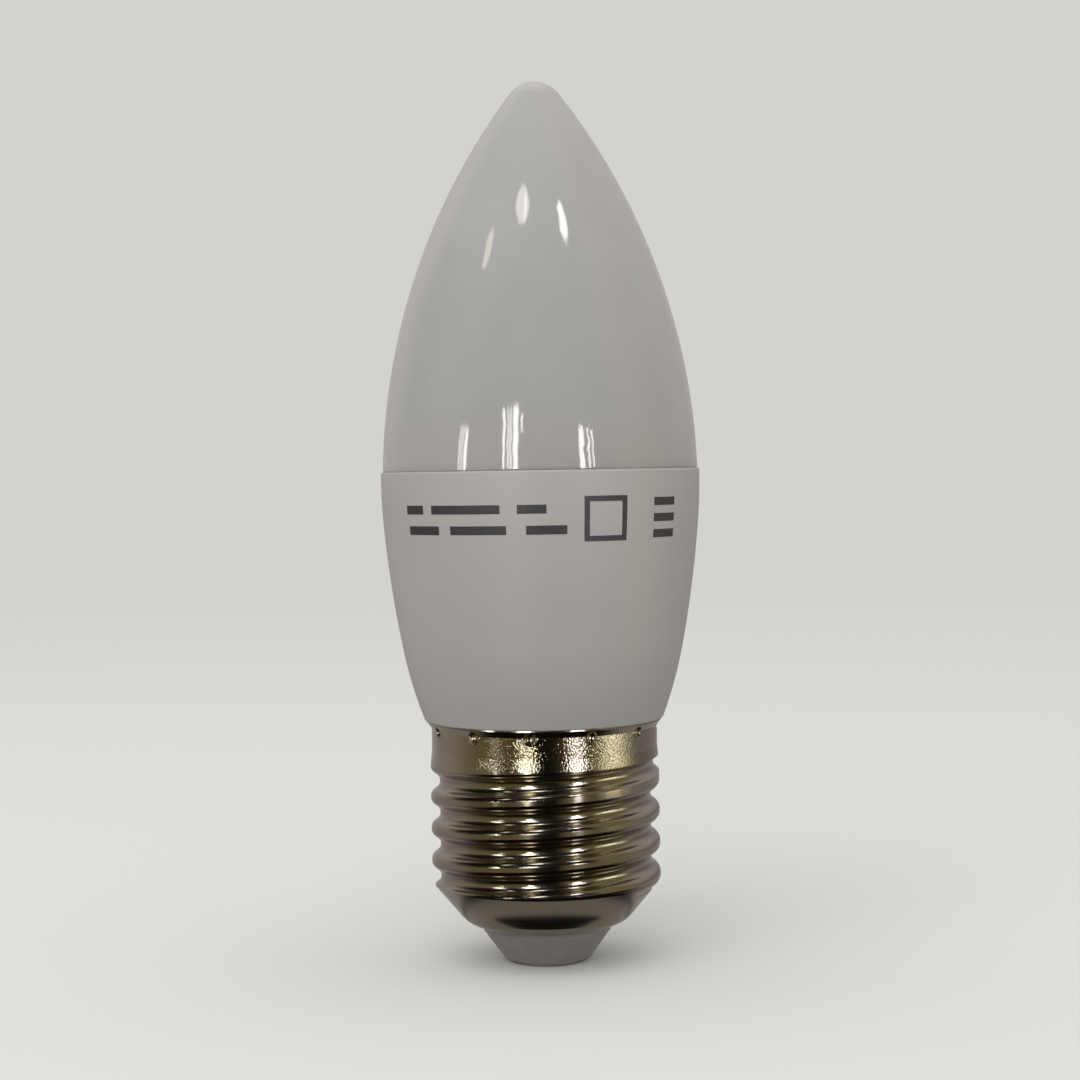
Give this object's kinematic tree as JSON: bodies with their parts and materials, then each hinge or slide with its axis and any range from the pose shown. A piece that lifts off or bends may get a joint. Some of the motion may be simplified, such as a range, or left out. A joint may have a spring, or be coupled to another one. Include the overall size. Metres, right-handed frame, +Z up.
{
  "type": "candle bulb",
  "caption": "Candle-shaped LED bulb: opal pointed dome on a moulded housing, with a nickel-plated 27 mm screw cap and a centre contact.",
  "frame": {"origin": "centre of the centre contact's flat face, on the bulb's axis", "axes": "+Z up the axis to the tip of the dome, -Y towards the front as pictured, +X to its right"},
  "size_m": [0.0366, 0.0366, 0.1011],
  "materials": {
    "opal_polycarbonate": "opal white, glossy blow-moulded polycarbonate",
    "moulded_housing": "warm white, satin moulded plastic",
    "nickel_plated_sheet": "bright nickel plate on rolled sheet, fine grain on the plain band",
    "insulator_plastic": "pale grey moulded insulator",
    "contact_metal": "plated contact, bright"
  },
  "bodies": {
    "root": {"diffuser": "opal_polycarbonate", "housing": "moulded_housing", "screw_shell": "nickel_plated_sheet", "insulator": "insulator_plastic", "centre_contact": "contact_metal"}
  },
  "joints": []
}
